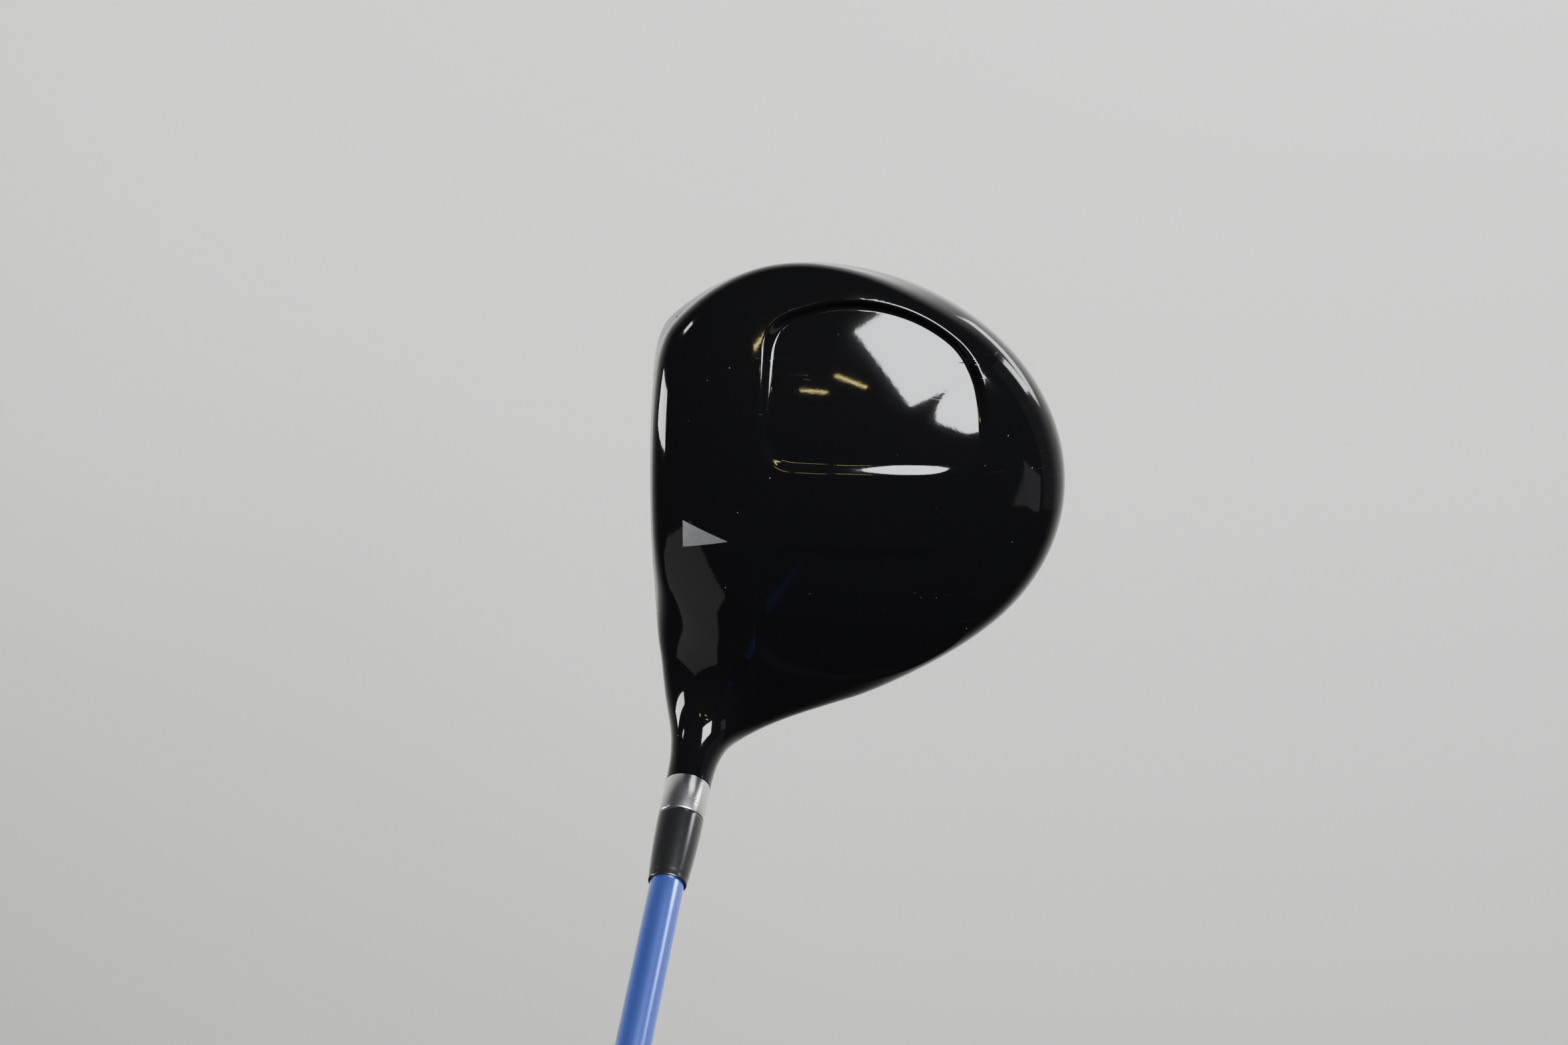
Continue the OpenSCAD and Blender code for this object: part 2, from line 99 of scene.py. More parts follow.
def head_d(p):
    """Distance-like function of the head, below zero inside."""
    x, y, z = p[..., 0], p[..., 1], p[..., 2]
    bx, by, bz = x - HEAD_X, y - HEAD_Y, z - RIM_Z
    ex = np.where(bx < 0, TOE, HEEL)
    ey = np.where(by > 0, BACK, FRONT + CHIN * sstep(-bz / 22))
    ez = np.where(bz > 0, FLANK_H, SOLE_H)
    n = np.where(bz > 0, 2.2, SOLE_N)
    g = (length(bx / ex, by / ey) ** n + np.abs(bz / ez) ** n) ** (1 / n)
    body = length(bx, by, bz) * (1 - 1 / np.maximum(g, 1e-6))
    qx, qy, qz = x - LOBE_C[0], y - LOBE_C[1], z - LOBE_C[2]
    cy, sy = math.cos(math.radians(LOBE_YAW)), math.sin(math.radians(LOBE_YAW))
    cp, sp = math.cos(math.radians(LOBE_PITCH)), math.sin(math.radians(LOBE_PITCH))
    u1, v = cy * qx + sy * qy, -sy * qx + cy * qy
    u, w = cp * u1 + sp * qz, -sp * u1 + cp * qz
    g = length(u / LOBE_S[0], v / LOBE_S[1], w / LOBE_S[2])
    lobe = length(qx, qy, qz) * (1 - 1 / np.maximum(g, 1e-6))
    face = (face_at(x, z) - y) * math.cos(math.radians(LOFT))
    dx, dy = x - TOP[0], y - TOP[1]
    arch = np.where(dy > 0, ARCH_BACK, ARCH_FRONT)
    crown = z - TOP[2] + dx * dx / (2 * ARCH_X) + dy * dy / (2 * arch) + scoop(x, y)
    crown = crown / length(1.0, dx / ARCH_X, dy / arch)
    b = smax(smax(smin(body, lobe, LOBE_K), crown, ROLL_K), face, FACE_K)
    hx, hy, hz = x - HOSEL[0], y - HOSEL[1], z - HOSEL[2]
    t = hx * AXIS[0] + hz * AXIS[2]
    r = length(hx - t * AXIS[0], hy, hz - t * AXIS[2])
    neck = length(r, np.maximum(NECK_END - t, 0)) - COLLAR_R - 0.02 * np.maximum(-18 - t, 0)
    return smin(b, neck, NECK_K)


def touch(s, d):
    """Points where rays from s along unit vectors d leave the head."""
    s, d = np.broadcast_arrays(np.asarray(s, float), np.asarray(d, float))
    r = np.full(s.shape[:-1], 2.0)
    for _ in range(45):
        r = r - 0.85 * head_d(s + r[..., None] * d)
    return s + r[..., None] * d


def normal(p):
    e = 0.02
    g = np.stack([head_d(p + e * a) - head_d(p - e * a) for a in np.eye(3)], -1)
    return g / np.linalg.norm(g, axis=-1, keepdims=True)


TIP = touch(np.array([HEAD_X - 20, -1.5, RIM_Z + 3.5]), np.array([-1.0, 0, 0]))
TOE_X = float(TIP[0])


def ring_places():
    """Ring places 0 to 1 from the toe tip, closer together at the two sides of the ridge."""
    u = np.linspace(0, 1, 2001)
    x = TOE_X + (FAN_X - TOE_X) * (1 - np.cos(math.pi / 2 * u))
    w = np.cumsum(1 + 1.8 * np.exp(-((np.abs(x) - 11) / 4) ** 2))
    return np.interp(np.linspace(w[0], w[-1], N_TOE + 1), w, u)


RING_U = ring_places()


def ring(i):
    """Middle, up direction and lean of ring i."""
    if i <= N_TOE:
        x = TOE_X + (FAN_X - TOE_X) * (1 - math.cos(math.pi / 2 * RING_U[i]))
        w = (x - TOE_X) / (FAN_X - TOE_X)
        middle = np.array([x, TIP[1] * (1 - w) - 16 * w, TIP[2] * (1 - w) + (RIM_Z + 3) * w])
        return middle, np.array([0, 0, 1.0]), 0.0
    if i <= N_TOE + N_FAN:
        f = (i - N_TOE) / N_FAN
        up = np.array([-math.sin(lie * f), 0, math.cos(lie * f)])
        m = FAN_PIVOT - up * ((FAN_PIVOT[2] - RIM_Z - 3) * (1 - f) + FAN_R * f)
        return np.array([m[0], HOSEL[1] * f - 16 * (1 - f), m[2]]), up, math.tan(lie * f)
    up = np.array([-math.sin(lie), 0, math.cos(lie)])
    return FAN_BASE + AXIS * (20 - COLLAR_LEN) * (i - N_TOE - N_FAN) / N_NECK, up, math.tan(lie)


def plate_angle(i, side):
    m, up, lean = ring(i)
    a = m[0] + m[2] * lean
    qa = (lean / PLATE_A) ** 2 + PLATE_H ** -2
    qb = (a - 1) * lean / PLATE_A ** 2 + (FACE_Z + 1) / PLATE_H ** 2
    qc = ((a - 1) / PLATE_A) ** 2 + ((FACE_Z + 1) / PLATE_H) ** 2 - 1
    z = (qb + side * math.sqrt(max(qb * qb - qa * qc, 0))) / qa
    p = np.array([a - lean * z, face_at(a - lean * z, z), z]) - m
    return math.atan2(p @ up, p[1]) % (2 * math.pi)


def skin(i, angles):
    """Points of ring i at these angles from the back, over the top."""
    m, up, _ = ring(i)
    angles = np.asarray(angles)
    if i == 0:
        return np.repeat(m[None], len(angles), 0)
    return touch(m, np.cos(angles)[:, None] * np.array([0, 1.0, 0]) + np.sin(angles)[:, None] * up)


# ---------------------------------------------------------------- mesh helpers
def link(name, verts, faces, normals=None):
    """A mesh object from millimetre points, with the surface's own normals where they are given."""
    verts = np.asarray(verts, float)
    if normals is not None:
        quad = np.array([tuple(f) + (f[-1],) * (4 - len(f)) for f in faces])
        a, b, c, d = (verts[quad[:, k]] for k in range(4))
        out = np.cross(c - a, d - b)
        short = quad[:, 2] == quad[:, 3]
        out[short] = np.cross(b - a, c - a)[short]
        away = (out * normals[quad].sum(1)).sum(1) < 0
        faces = [tuple(f[::-1]) if w else tuple(f) for f, w in zip(faces, away)]
    me = bpy.data.meshes.new(name)
    me.from_pydata([tuple(v * MM) for v in verts], [], faces)
    me.validate()
    me.update()
    me.polygons.foreach_set("use_smooth", [True] * len(me.polygons))
    if normals is not None:
        me.normals_split_custom_set_from_vertices([tuple(n) for n in normals])
    ob = bpy.data.objects.new(name, me)
    bpy.context.scene.collection.objects.link(ob)
    return ob


def grid_piece(name, p, loop=False, flange=1.2, drop=None):
    """A sheet over a grid of surface points, with its edges turned in by flange."""
    rows, cols = p.shape[:2]
    nrm = normal(p)
    if drop is not None:
        p, gone = drop(p)
    else:
        gone = np.zeros((rows, cols), bool)
    verts, norms, faces = [p.reshape(-1, 3)], [nrm.reshape(-1, 3)], []
    last = cols if loop else cols - 1
    for i in range(rows - 1):
        for j in range(last):
            k = (j + 1) % cols
            if gone[i, j] or gone[i + 1, j] or gone[i + 1, k] or gone[i, k]:
                continue
            q = (i * cols + j, (i + 1) * cols + j, (i + 1) * cols + k, i * cols + k)
            if i == 0 and np.allclose(p[0, 0], p[0, -1]):
                q = tuple(v for v in q if v != k)
            faces.append(q)
    base = rows * cols
    edges = [(p[0], nrm[0], p[1]), (p[-1], nrm[-1], p[-2])]
    if not loop:
        edges += [(p[:, 0], nrm[:, 0], p[:, 1]), (p[:, -1], nrm[:, -1], p[:, -2])]
    for line, n, inside in edges:
        if np.allclose(line[0], line[-1]) and not loop or flange <= 0:
            continue
        along = np.gradient(line, axis=0)
        if loop:
            along = np.roll(line, -1, 0) - np.roll(line, 1, 0)
        side = np.cross(n, along)
        side /= np.linalg.norm(side, axis=-1, keepdims=True) + 1e-9
        side *= np.where(((line - inside) * side).sum(-1, keepdims=True) < 0, -1, 1)
        m = len(line)
        verts += [line, line - flange * n]
        norms += [side, side]
        for a in range(m if loop else m - 1):
            b = (a + 1) % m
            faces.append((base + a, base + b, base + m + b, base + m + a))
        base += 2 * m
    return link(name, np.concatenate(verts), faces, np.concatenate(norms))


def lathe(name, profile, at, axis, steps, relief=None):
    """A turned piece: profile is (radius, distance along the axis) in mm, closed on itself.

    relief(distance, angle, radius) is added to the radius.
    """
    axis = np.asarray(axis, float)
    side = np.cross(axis, [0, 1.0, 0])
    side /= np.linalg.norm(side)
    third = np.cross(axis, side)
    prof = np.asarray(profile, float)
    a = np.linspace(0, 2 * np.pi, steps, endpoint=False)
    ring_dir = np.cos(a)[:, None] * side + np.sin(a)[:, None] * third
    r = prof[:, 0][:, None] * np.ones(steps)
    if relief is not None:
        r = r + relief(prof[:, 1][:, None], a[None], prof[:, 0][:, None])
    p = np.asarray(at) + prof[:, 1][:, None, None] * axis + r[..., None] * ring_dir[None]
    n = len(prof)
    faces = []
    for i in range(n):
        k = (i + 1) % n
        for j in range(steps):
            m = (j + 1) % steps
            faces.append((i * steps + j, k * steps + j, k * steps + m, i * steps + m))
    ob = link(name, p.reshape(-1, 3), faces)
    bm = bmesh.new()
    bm.from_mesh(ob.data)
    bmesh.ops.recalc_face_normals(bm, faces=bm.faces)
    for e in bm.edges:
        e.smooth = len(e.link_faces) != 2 or e.calc_face_angle(0) < math.radians(35)
    bm.to_mesh(ob.data)
    bm.free()
    return ob


def smooth_line(points, step):
    """The profile with extra points so that no piece is longer than step."""
    out = []
    pts = [np.array(q, float) for q in points]
    for a, b in zip(pts, pts[1:]):
        n = max(1, int(np.linalg.norm(b - a) / step))
        out += [a + (b - a) * k / n for k in range(n)]
    return out + [pts[-1]]


# ---------------------------------------------------------------- node materials
def new_material(name):
    m = bpy.data.materials.new(name)
    m.use_nodes = True
    nt = m.node_tree
    for n in list(nt.nodes):
        nt.nodes.remove(n)
    out = nt.nodes.new("ShaderNodeOutputMaterial")
    b = nt.nodes.new("ShaderNodeBsdfPrincipled")
    nt.links.new(b.outputs[0], out.inputs[0])
    return m, nt, b


def add(nt, kind, **props):
    n = nt.nodes.new(kind)
    for k, v in props.items():
        if k.startswith("in_"):
            n.inputs[k[3:].replace("_", " ")].default_value = v
        else:
            setattr(n, k, v)
    return n


def coords(nt, scale=(1, 1, 1), rot=(0, 0, 0)):
    t = add(nt, "ShaderNodeTexCoord")
    m = add(nt, "ShaderNodeMapping")
    m.inputs["Scale"].default_value = scale
    m.inputs["Rotation"].default_value = rot
    nt.links.new(t.outputs["Object"], m.inputs["Vector"])
    return m.outputs[0]


def noise(nt, vec, scale, detail=4, rough=0.55):
    n = add(nt, "ShaderNodeTexNoise")
    n.inputs["Scale"].default_value = scale
    n.inputs["Detail"].default_value = detail
    n.inputs["Roughness"].default_value = rough
    nt.links.new(vec, n.inputs["Vector"])
    return n.outputs["Fac"]


def ramp(nt, fac, stops):
    r = add(nt, "ShaderNodeValToRGB")
    while len(r.color_ramp.elements) < len(stops):
        r.color_ramp.elements.new(0.5)
    for e, (pos, c) in zip(r.color_ramp.elements, stops):
        e.position = pos
        e.color = (*c, 1) if len(c) == 3 else c
    nt.links.new(fac, r.inputs[0])
    return r.outputs[0]


def grey(v):
    return (v, v, v)


def bump(nt, height, strength, distance, chain=None):
    b = add(nt, "ShaderNodeBump")
    b.inputs["Strength"].default_value = strength
    b.inputs["Distance"].default_value = distance
    nt.links.new(height, b.inputs["Height"])
    if chain is not None:
        nt.links.new(chain, b.inputs["Normal"])
    return b.outputs[0]


def math_node(nt, op, a, b=None):
    n = add(nt, "ShaderNodeMath", operation=op)
    for k, v in enumerate((a, b)):
        if v is None:
            continue
        if isinstance(v, (int, float)):
            n.inputs[k].default_value = v
        else:
            nt.links.new(v, n.inputs[k])
    return n.outputs[0]


def mix(nt, fac, a, b):
    n = add(nt, "ShaderNodeMix", data_type="RGBA")
    for sock, v in ((n.inputs[0], fac), (n.inputs[6], a), (n.inputs[7], b)):
        if isinstance(v, (int, float)):
            sock.default_value = v
        elif isinstance(v, tuple):
            sock.default_value = (*v, 1)
        else:
            nt.links.new(v, sock)
    return n.outputs[2]


def scratches(nt, rot, scale, lo, hi):
    """Fine hairlines along one direction, as a 0 to 1 mask."""
    v = coords(nt, scale=scale, rot=rot)
    n = noise(nt, v, 1.0, 2, 0.5)
    return ramp(nt, n, [(0.0, grey(0)), (lo, grey(0)), (hi, grey(1)), (min(hi + 0.02, 1), grey(0))])


def paint(name, base, rough):
    """Gloss lacquer with sparse short hairlines and tiny dust specks."""
    m, nt, b = new_material(name)
    fine = noise(nt, coords(nt), 900, 3)
    big = noise(nt, coords(nt), 45, 4)
    hair = math_node(nt, "MAXIMUM", scratches(nt, (0, 0, 0.5), (1500, 90, 90), 0.68, 0.70),
                     scratches(nt, (0, 0, -0.9), (1300, 80, 80), 0.70, 0.72))
    patch = ramp(nt, noise(nt, coords(nt), 28, 2), [(0.0, grey(0)), (0.56, grey(0)), (0.66, grey(1)), (1, grey(1))])
    hair = math_node(nt, "MULTIPLY", hair, patch)
    col = mix(nt, math_node(nt, "MULTIPLY", hair, 0.2), base, tuple(min(1, c * 4 + 0.02) for c in base))
    vor = add(nt, "ShaderNodeTexVoronoi", in_Scale=420.0)
    nt.links.new(coords(nt), vor.inputs["Vector"])
    dots = ramp(nt, vor.outputs["Distance"], [(0.0, grey(1)), (0.05, grey(1)), (0.08, grey(0)), (1, grey(0))])
    rare = ramp(nt, noise(nt, coords(nt), 160, 2), [(0.0, grey(0)), (0.62, grey(0)), (0.66, grey(1)), (1, grey(1))])
    dust = math_node(nt, "MULTIPLY", math_node(nt, "MULTIPLY", dots, rare), 0.5)
    col = mix(nt, dust, col, (0.25, 0.25, 0.25))
    nt.links.new(col, b.inputs["Base Color"])
    r = math_node(nt, "ADD", math_node(nt, "MULTIPLY", big, 0.05), rough - 0.02)
    r = math_node(nt, "ADD", r, math_node(nt, "MULTIPLY", hair, 0.15))
    nt.links.new(r, b.inputs["Roughness"])
    b.inputs["IOR"].default_value = 1.4
    n1 = bump(nt, fine, 0.012, 0.0004)
    nt.links.new(bump(nt, hair, 0.05, 0.0002, n1), b.inputs["Normal"])
    return m


def metal(name, base, rough, stretch, amount=0.08, dings=0.0, low=None):
    """A metal with brushing along one direction."""
    m, nt, b = new_material(name)
    b.inputs["Metallic"].default_value = 1.0
    br = noise(nt, coords(nt, scale=stretch), 1.0, 6, 0.7)
    big = noise(nt, coords(nt), 120, 4)
    low = low or tuple(c * 0.72 for c in base)
    nt.links.new(mix(nt, ramp(nt, br, [(0.25, grey(0)), (0.75, grey(1))]), low, base), b.inputs["Base Color"])
    r = math_node(nt, "ADD", math_node(nt, "MULTIPLY", br, amount), rough - amount / 2)
    r = math_node(nt, "ADD", r, math_node(nt, "MULTIPLY", big, 0.06))
    nt.links.new(r, b.inputs["Roughness"])
    n1 = bump(nt, br, 0.06, 0.0002)
    if dings:
        vor = add(nt, "ShaderNodeTexVoronoi", in_Scale=300.0)
        nt.links.new(coords(nt), vor.inputs["Vector"])
        pits = ramp(nt, vor.outputs["Distance"], [(0, grey(0)), (0.12, grey(0)), (0.2, grey(1)), (1, grey(1))])
        n1 = bump(nt, pits, dings, 0.0004, n1)
    nt.links.new(n1, b.inputs["Normal"])
    return m


def plastic(name, base, rough, grain=700, strength=0.05, coat=0.0):
    m, nt, b = new_material(name)
    n = noise(nt, coords(nt), grain, 4)
    big = noise(nt, coords(nt), 60, 3)
    dark, light = tuple(c * 0.8 for c in base), tuple(min(1, c * 1.25) for c in base)
    nt.links.new(mix(nt, big, dark, light), b.inputs["Base Color"])
    nt.links.new(math_node(nt, "ADD", math_node(nt, "MULTIPLY", big, 0.1), rough - 0.05), b.inputs["Roughness"])
    b.inputs["Coat Weight"].default_value = coat
    b.inputs["Coat Roughness"].default_value = 0.15
    nt.links.new(bump(nt, n, strength, 0.0003), b.inputs["Normal"])
    return m


M_CROWN = paint("crown_lacquer", (0.002, 0.002, 0.0024), 0.05)
M_SOLE = paint("sole_lacquer", (0.003, 0.003, 0.0034), 0.08)
M_FACE = metal("face_titanium", (0.34, 0.345, 0.36), 0.34, (9000, 60, 60), 0.12, low=(0.22, 0.225, 0.235))
M_COLLAR = metal("collar_polished", (0.6, 0.6, 0.61), 0.19, (420, 420, 420), 0.08, dings=0.12,
                 low=(0.66, 0.655, 0.65))
M_BADGE = metal("badge_satin", (0.62, 0.63, 0.65), 0.28, (60, 7000, 60), 0.1)
M_MARK = metal("mark_silver", (0.3, 0.3, 0.3), 0.45, (900, 900, 900), 0.1)
M_PORT = metal("port_dark", (0.2, 0.2, 0.21), 0.32, (600, 600, 600), 0.08)
M_WEIGHT = metal("weight_steel", (0.6, 0.6, 0.62), 0.25, (700, 700, 700), 0.08)
M_SCREW = metal("screw_steel", (0.3, 0.3, 0.31), 0.3, (700, 700, 700), 0.08)
M_FERRULE = plastic("ferrule_black", (0.005, 0.005, 0.0055), 0.24, 600, 0.03, 0.3)
M_WHITE = plastic("score_white", (0.8, 0.8, 0.8), 0.45)
M_GLUE = plastic("hot_melt", (0.6, 0.5, 0.3), 0.5, 200, 0.3)
M_EPOXY = plastic("epoxy_amber", (0.6, 0.45, 0.2), 0.3, 200, 0.1, 0.5)
M_TAPE = plastic("paper_tape", (0.7, 0.63, 0.48), 0.85, 1200, 0.3)
M_PLUG = plastic("plug_rubber", (0.03, 0.03, 0.03), 0.8, 500, 0.3)
M_GRIP = plastic("grip_rubber", (0.014, 0.014, 0.015), 0.7, 1500, 0.5)


def shaft_material():
    m, nt, b = new_material("shaft_blue")
    big = noise(nt, coords(nt), 20, 3)
    flake = add(nt, "ShaderNodeTexVoronoi", in_Scale=5200.0)
    nt.links.new(coords(nt), flake.inputs["Vector"])
    f = ramp(nt, flake.outputs["Distance"], [(0, grey(0)), (0.7, grey(1))])
    col = mix(nt, math_node(nt, "MULTIPLY", f, 0.35), (0.1, 0.155, 0.66), (0.21, 0.34, 1.0))
    nt.links.new(col, b.inputs["Base Color"])
    b.inputs["Metallic"].default_value = 0.9
    nt.links.new(math_node(nt, "ADD", math_node(nt, "MULTIPLY", big, 0.06), 0.2), b.inputs["Roughness"])
    b.inputs["Coat Weight"].default_value = 0.12
    b.inputs["Coat Roughness"].default_value = 0.2
    nt.links.new(bump(nt, noise(nt, coords(nt), 1500, 3), 0.03, 0.0002), b.inputs["Normal"])
    return m


M_SHAFT = shaft_material()


def dress(ob, mat):
    ob.data.materials.clear()
    ob.data.materials.append(mat)
    return ob


def place(ob, mat, slot, *replaced, body="club"):
    dress(ob, mat)
    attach(ob, body)
    if replaced:
        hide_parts(*replaced)
    return ob


# ---------------------------------------------------------------- head pieces
def half_angles(end, n):
    u = np.arange(n + 1) / n
    return end * (0.5 * u + 0.5 * u * u)


def crown_line(i, angles):
    """Crown points of ring i. Rays towards the back start further back, so that none grazes the scoop's wall."""
    m, up, _ = ring(i)
    a = np.asarray(angles)
    if i == 0:
        return skin(i, a)
    reach = np.linalg.norm(touch(m, np.array([0, 1.0, 0])) - m)
    c, s = np.cos(a)[:, None], np.sin(a)[:, None]
    y = np.array([0, 1.0, 0])
    return touch(m + 0.72 * reach * np.maximum(c, 0) * y, c * y + s * up)


def crowded_angles(i, end, n, gain=22.0):
    """Angles of ring i from the back to end, closer together where the surface turns."""
    a = half_angles(end, 800)
    if i == 0:
        return half_angles(end, n)
    p = crown_line(i, a)
    turn = np.linalg.norm(np.diff(normal(p), axis=0), axis=1)
    w = np.concatenate([[0], np.cumsum(np.linalg.norm(np.diff(p, axis=0), axis=1) + gain * turn)])
    return np.interp(np.linspace(0, w[-1], n + 1), w, a)


PORT_TILT = math.radians(24)
PORT_DIR = np.array([0, math.sin(PORT_TILT), -math.cos(PORT_TILT)])
PORT = touch(np.array([0, 36.0, 24.0]), PORT_DIR)


def port_hole(p):
    q = p - PORT
    t = q @ PORT_DIR
    side = q - t[..., None] * PORT_DIR
    r = np.linalg.norm(side, axis=-1)
    near = (np.abs(t) < 6) & (r < 8.9)
    push = near & (r > 7.3)
    out = p.copy()
    out[push] += (side[push] / r[push][:, None]) * (8.9 - r[push])[:, None]
    return out, near & ~push


head_rings = range(I_NECK + 1)
crown = np.stack([crown_line(i, crowded_angles(i, plate_angle(i, 1), 280)) for i in head_rings])
place(grid_piece("crown_skin", crown), M_CROWN, "crown_paint", "crown_shell")
sole = np.stack([skin(i, (2 * math.pi - half_angles(2 * math.pi - plate_angle(i, -1), 110))[::-1])
                 for i in head_rings])
place(grid_piece("sole_skin", sole, drop=port_hole), M_SOLE, "sole_paint", "sole_shell")
neck = np.stack([skin(i, np.linspace(0, 2 * math.pi, 160, endpoint=False))
                 for i in range(I_NECK, N_RINGS + 1)])
place(grid_piece("neck_skin", neck, loop=True), M_CROWN, "crown_paint", "neck_cone")


def plate_grid(rings=26, steps=220, grow=0.997):
    t = np.linspace(0, 2 * np.pi, steps, endpoint=False)
    k = np.linspace(0, 1, rings) ** 0.8 * grow
    x = 1 + PLATE_A * k[:, None] * np.cos(t)
    z = FACE_Z + 1 + PLATE_H * k[:, None] * np.sin(t)
    s = np.stack([x, np.full_like(x, -15.0), z], -1)
    return touch(s, np.array([0, -1.0, 0]))


place(grid_piece("face_skin", plate_grid(), loop=True), M_FACE, "face_metal", "face_plate")


# ---------------------------------------------------------------- shaft pieces
CLUB_LEN, GRIP_LEN, CAP_LEN = 1156, 268, 4
TIP_R, TIP_LEN, TAPER = 4.5, 60, 3.1
WALL = 1.2
CAP_T = CLUB_LEN - HOSEL[2] / math.sin(lie)
GRIP_T1 = CAP_T - CAP_LEN
GRIP_T0 = GRIP_T1 - GRIP_LEN


def shaft_r(t):
    """Outer radius of the shaft at distance t above the hosel."""
    return TIP_R + TAPER * max(t - TIP_LEN, 0) / (GRIP_T1 - TIP_LEN)


def turned(name, profile, mat, slot, *replaced, steps=160, relief=None):
    return place(lathe(name, profile, HOSEL, AXIS, steps, relief), mat, slot, *replaced)


turned("collar", [(4.6, -44), (5.1, -44), (5.1, -10.5), (5.98, -10.5), (6.07, -10.45), (6.1, -10.36),
                  (6.1, -0.42), (6.07, -0.26), (5.99, -0.12), (5.86, -0.03), (5.7, 0), (4.6, 0)],
       M_COLLAR, "hosel_metal", "hosel_tube")
ferrule_side = [(r, t) for t in np.linspace(0.35, 19.5, 40) for r in [6.1 - 0.95 * (t / 19.5) ** 1.9]]
ferrule_side = [(r - 0.09 * math.exp(-((t - 18.4) / 0.16) ** 2), t) for r, t in ferrule_side]
turned("ferrule_sleeve", [(4.52, 0.06), (5.8, 0.06), (6.0, 0.12)] + ferrule_side
       + [(5.14, 19.7), (5.08, 19.88), (4.96, 19.98), (4.8, 20), (4.52, 20)],
       M_FERRULE, "ferrule_plastic", "ferrule")
shaft_end = GRIP_T1 - 0.1
shaft_side = smooth_line([(TIP_R - 0.05, -39.9), (TIP_R - 0.05, -0.1), (TIP_R, 0.05), (TIP_R, TIP_LEN),
                          (shaft_r(shaft_end), shaft_end)], 25)
shaft_bore = [(shaft_r(GRIP_T1) - WALL, shaft_end), (3.2, TIP_LEN), (3.2, -39.9)]
turned("shaft_tube", shaft_side + shaft_bore, M_SHAFT, "shaft_paint", "shaft", steps=128)


def grip_relief(t, a, r):
    """Zigzag grooves round the grip, none near its ends."""
    span = sstep((t - GRIP_T0 - 52) / 6) * sstep((GRIP_T1 - 16 - t) / 6)
    wave = np.sin(2 * np.pi * t / 5.2 + 1.9 * np.sin(8 * a))
    ribs = sstep((wave - 0.35) / 0.4)
    return -0.3 * span * ribs * np.where(r > 9, 1, 0)


grip_line = [(shaft_r(GRIP_T0) + 0.4, GRIP_T0), (9.1, GRIP_T0), (9.45, GRIP_T0 + 0.12), (9.7, GRIP_T0 + 0.4),
             (9.8, GRIP_T0 + 0.8)]
for k in range(7):
    t = GRIP_T0 + 10 + 5 * k
    r = 9.8 + (t - GRIP_T0) * 0.0127
    grip_line += [(r, t), (r - 0.4, t + 0.35), (r - 0.5, t + 0.7), (r - 0.5, t + 1.8), (r - 0.4, t + 2.15),
                  (r, t + 2.5)]
grip_line += [tuple(q) for q in smooth_line([(10.5, GRIP_T0 + 50), (13.2, GRIP_T1 - 1)], 0.8)]
grip_line += [(13.15, GRIP_T1 - 0.5), (12.9, GRIP_T1 - 0.1), (12.7, GRIP_T1), (shaft_r(GRIP_T1) + 0.4, GRIP_T1)]
turned("grip_rubber", grip_line, M_GRIP, "grip_rubber", "grip_sleeve", steps=144, relief=grip_relief)
turned("grip_end", [(1.25, GRIP_T1 + 0.06), (12.9, GRIP_T1 + 0.06), (13.1, GRIP_T1 + 0.2), (13.2, GRIP_T1 + 0.5),
                    (13.2, GRIP_T1 + 2.5), (13.05, GRIP_T1 + 3.0), (12.6, GRIP_T1 + 3.5), (11.8, CAP_T),
                    (9.2, CAP_T), (9.0, CAP_T - 0.35), (8.2, CAP_T - 0.35), (8.0, CAP_T), (1.7, CAP_T),
                    (1.35, CAP_T - 0.15), (1.25, CAP_T - 0.5)],
       M_GRIP, "grip_rubber", "grip_cap", steps=96)


# ---------------------------------------------------------------- face lines, crown mark and sole plate
def offset_sheet(name, p, off, mat, slot, *replaced):
    ob = grid_piece(name, p + off * normal(p), flange=0.25)
    return place(ob, mat, slot, *replaced)


def front_points(x, z):
    x, z = np.broadcast_arrays(x, z)
    return touch(np.stack([x, np.full_like(x, -15.0), z], -1), np.array([0, -1.0, 0]))


LINE_PITCH, LINE_HALF, LINE_IN, LINE_OUT = 4.0, 0.38, 12, 34
count = 0
for k in range(-3, 4):
    for side in (-1, 1):
        x = np.linspace(side * LINE_IN + 1, side * (LINE_OUT - abs(k) * 2) + 1, 40)
        z = FACE_Z + 1 + LINE_PITCH * k + np.linspace(LINE_HALF, -LINE_HALF, 4)
        count += 1
        offset_sheet(f"score_line_{count:02d}", front_points(x[:, None], z[None]), 0.05, M_WHITE, "score_paint",
                     *(["score_lines"] if count == 1 else []))

u = np.linspace(0, 1, 22)
my = -18.3 - 12.4 * u[:, None] + 0 * u[None]
mx = 10.4 + 3.7 * (u[:, None] + 0.02) * (1 - 2 * u[None])
mark = touch(np.stack([mx, my, np.full_like(mx, 25.0)], -1), np.array([0, 0, 1.0]))
offset_sheet("crown_mark", mark, 0.06, M_MARK, "mark_silver", "alignment_mark")

